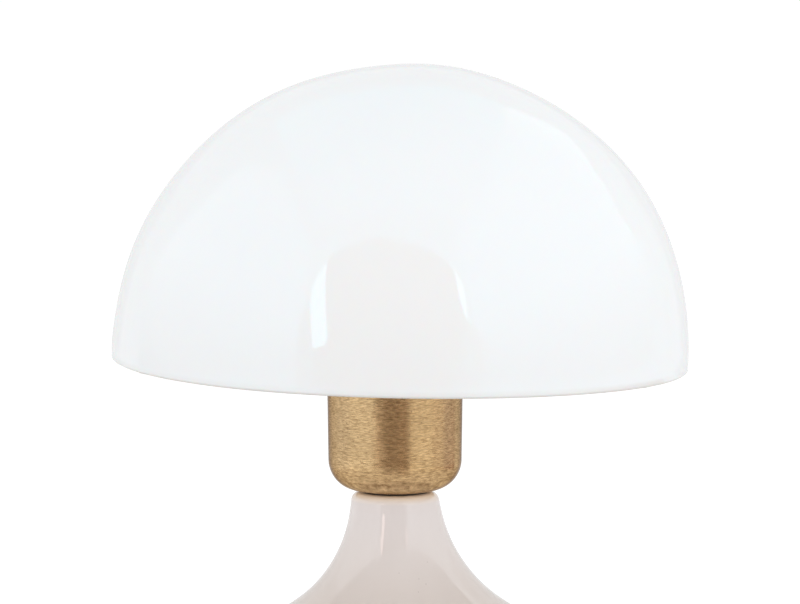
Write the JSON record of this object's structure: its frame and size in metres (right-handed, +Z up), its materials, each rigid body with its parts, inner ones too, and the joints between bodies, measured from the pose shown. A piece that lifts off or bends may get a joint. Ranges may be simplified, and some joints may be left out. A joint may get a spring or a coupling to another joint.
{
  "type": "table lamp",
  "caption": "Mushroom table lamp: open white opal glass dome resting over a brushed brass cup on a glazed ceramic base with a slim neck, with lampholder and bulb inside.",
  "frame": {"origin": "on the lamp's axis, on the surface that the felt pad stands on", "axes": "+Z up along the stem; -Y is the front as pictured, +Y the back with the cord inlet; +X is the viewer's right"},
  "size_m": [0.3059, 0.306, 0.4082],
  "materials": {
    "opal_glass": "glossy blown opal glass",
    "glazed_base": "pinkish-beige gloss glaze",
    "antique_brass": "brushed and aged",
    "felt": "pressed felt",
    "black_rubber": "matt",
    "silicone": "translucent white silicone",
    "zinc_steel": "zinc plated",
    "white_enamel": "satin white enamel",
    "black_phenolic": "moulded phenolic",
    "porcelain": "unglazed porcelain",
    "contact_brass": "bright drawn sheet",
    "nickel": "nickel plated",
    "bulb_white": "satin white",
    "bulb_opal": "opal polycarbonate",
    "board_white": "white solder mask",
    "board_green": "green solder mask",
    "vitrite": "black glass",
    "solder": "dull solder",
    "block_nylon": "natural nylon",
    "lead_brown": "extruded insulation",
    "lead_white": "extruded insulation"
  },
  "bodies": {
    "lamp": {"ceramic_base": "glazed_base", "brass_cup": "antique_brass", "felt_pad": "felt", "neck_gasket": "black_rubber", "plate_seal": "black_rubber", "cord_grommet": "black_rubber", "carrier_boots": "silicone", "bottom_plate": "zinc_steel", "bottom_washer": "zinc_steel", "bottom_nut": "zinc_steel", "stem_pipe": "zinc_steel", "cup_washer": "zinc_steel", "cup_lock_washer": "zinc_steel", "cup_nut": "zinc_steel", "shade_carrier": "white_enamel", "shade_ring": "black_phenolic", "socket_cap": "black_phenolic", "socket_body": "black_phenolic", "socket_grub_screw": "zinc_steel", "socket_insulator": "porcelain", "socket_centre_contact": "contact_brass", "socket_screw_shell": "contact_brass", "socket_terminal_screws": "contact_brass", "terminal_block": "block_nylon", "terminal_clamp_screws": "zinc_steel", "block_screw": "zinc_steel", "lead_live": "lead_brown", "lead_neutral": "lead_white"},
    "shade": {"shade_glass": "opal_glass"},
    "bulb_foot": {"bulb_tip_contact": "solder", "bulb_insulator": "vitrite"},
    "bulb": {"bulb_screw_cap": "nickel", "bulb_collar": "bulb_white", "bulb_globe": "bulb_opal", "bulb_led_board": "board_white", "bulb_driver_board": "board_green"}
  },
  "joints": [
    {"name": "shade_lift", "type": "slide", "parent": "lamp", "child": "shade", "axis": [0, 0, 1], "range_m": [0, 0.12]},
    {"name": "bulb_travel", "type": "slide", "parent": "lamp", "child": "bulb_foot", "axis": [0, 0, 1], "range_m": [0, 0.0182]},
    {"name": "bulb_turn", "type": "hinge", "parent": "bulb_foot", "child": "bulb", "pos_m": [0, 0, 0.26], "axis": [0, 0, 1], "range_deg": [0, 1800]}
  ],
  "couplings": [
    {"joint": "bulb_travel", "follows": "bulb_turn", "m_per_rad": 0.00057757}
  ]
}
